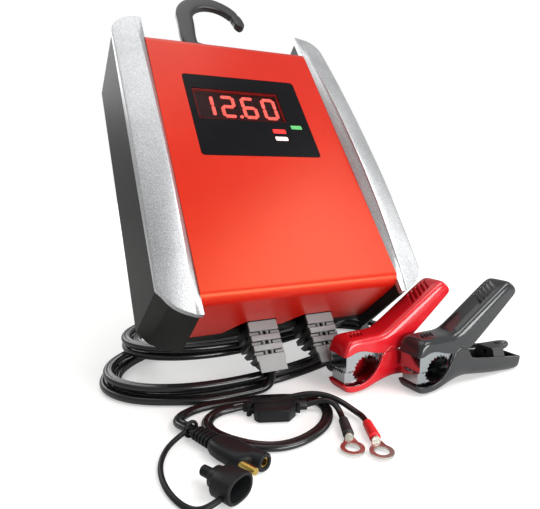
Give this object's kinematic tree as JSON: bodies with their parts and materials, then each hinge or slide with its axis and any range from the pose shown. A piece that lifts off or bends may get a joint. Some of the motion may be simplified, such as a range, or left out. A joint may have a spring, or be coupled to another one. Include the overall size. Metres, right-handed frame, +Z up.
{
  "type": "battery charger",
  "caption": "Car battery charger: red and silver housing with display and swivel hook, leaning on coiled cords, with sprung clamps and a ring-terminal lead.",
  "frame": {"origin": "on the ground, under the middle of the box around the housing and the two clamps, cords left out", "axes": "+Z up, +X to the viewer's right across the front, +Y to the back"},
  "size_m": [0.3167, 0.3219, 0.3324],
  "materials": {
    "red_cover": "smooth moulded red",
    "black_cover": "fine spark texture",
    "silver_trim": "silver with a fine grain",
    "hook_black": "smooth black",
    "boot_black": "soft matt black",
    "overlay_film": "printed film",
    "window_red": "dark red clear filter",
    "led_red": "lit red",
    "module_dark": "dark grey",
    "lens_clear": "frosted",
    "board_green": "solder mask",
    "core_steel": "laminated",
    "winding_tape": "yellow tape",
    "sink_metal": "extruded",
    "can_metal": "dark sleeve",
    "relay_blue": "plain",
    "choke_copper": "enamelled wire",
    "screw_steel": "blackened",
    "clamp_red": "polished red",
    "clamp_black": "polished black",
    "jaw_chrome": "bright plated",
    "pin_steel": "plated",
    "clip_black": "plain",
    "cord_black": "soft sheath",
    "cord_red": "soft sheath",
    "plug_black": "moulded",
    "blade_brass": "bare",
    "connector_black": "moulded",
    "fuse_tint": "tinted body",
    "ring_tin": "tinned",
    "sleeve_black": "shrunk sleeve",
    "sleeve_red": "shrunk sleeve"
  },
  "bodies": {
    "charger": {"front_cover": "red_cover", "rear_cover": "black_cover", "hook_collar": "black_cover", "left_trim": "silver_trim", "right_trim": "silver_trim", "dc_boot": "boot_black", "ac_boot": "boot_black", "display_overlay": "overlay_film", "display_window": "window_red", "led_segments": "led_red", "led_module": "module_dark", "indicator_lenses": "lens_clear", "display_board": "board_green", "power_board": "board_green", "transformer_core": "core_steel", "transformer_winding": "winding_tape", "heat_sink": "sink_metal", "capacitors": "can_metal", "output_relay": "relay_blue", "inlet_choke": "choke_copper", "cover_screws": "screw_steel", "red_lower_grip": "clamp_red", "black_lower_grip": "clamp_black", "red_lower_jaw": "jaw_chrome", "black_lower_jaw": "jaw_chrome", "pivot_pins": "pin_steel", "clamp_springs": "pin_steel", "red_lead_clip": "clip_black", "black_lead_clip": "clip_black", "dc_coil": "cord_black", "dc_cable": "cord_black", "dc_tail": "cord_black", "ac_coil": "cord_black", "ac_cord": "cord_black", "ac_tail": "cord_black", "lead_split": "cord_black", "black_lead": "cord_black", "harness_twin": "cord_black", "black_tail": "cord_black", "fuse_feed": "cord_black", "cap_tether": "cord_black", "red_lead": "cord_red", "red_tail": "cord_red", "plug_body": "plug_black", "plug_blades": "blade_brass", "sae_contacts": "blade_brass", "sae_connector": "connector_black", "dust_cap": "connector_black", "fuse_holder": "connector_black", "blade_fuse": "fuse_tint", "black_ring": "ring_tin", "red_ring": "ring_tin", "black_sleeve": "sleeve_black", "red_sleeve": "sleeve_red"},
    "hook_body": {"hook": "hook_black"},
    "red_upper": {"red_upper_grip": "clamp_red", "red_upper_jaw": "jaw_chrome"},
    "black_upper": {"black_upper_grip": "clamp_black", "black_upper_jaw": "jaw_chrome"},
    "fuse_lid": {"fuse_cap": "connector_black"}
  },
  "joints": [
    {"name": "hook_swivel", "type": "hinge", "parent": "charger", "child": "hook_body", "pos_m": [-0.03542, 0.0743, 0.25947], "axis": [0, 0.6239, 0.7815], "continuous": true},
    {"name": "red_clamp_squeeze", "type": "hinge", "parent": "charger", "child": "red_upper", "pos_m": [0.02573, -0.09778, 0.021], "axis": [-0.0698, 0.9976, 0], "range_deg": [0, 28], "stiffness_Nm_per_rad": 0.6, "springref_deg": -28.65},
    {"name": "black_clamp_squeeze", "type": "hinge", "parent": "charger", "child": "black_upper", "pos_m": [0.07073, -0.11978, 0.021], "axis": [-0.0698, 0.9976, 0], "range_deg": [0, 28], "stiffness_Nm_per_rad": 0.6, "springref_deg": -28.65},
    {"name": "fuse_lid_hinge", "type": "hinge", "parent": "charger", "child": "fuse_lid", "pos_m": [-0.08438, -0.10854, 0.0046], "axis": [0, 0, -1], "range_deg": [0, 90]}
  ]
}
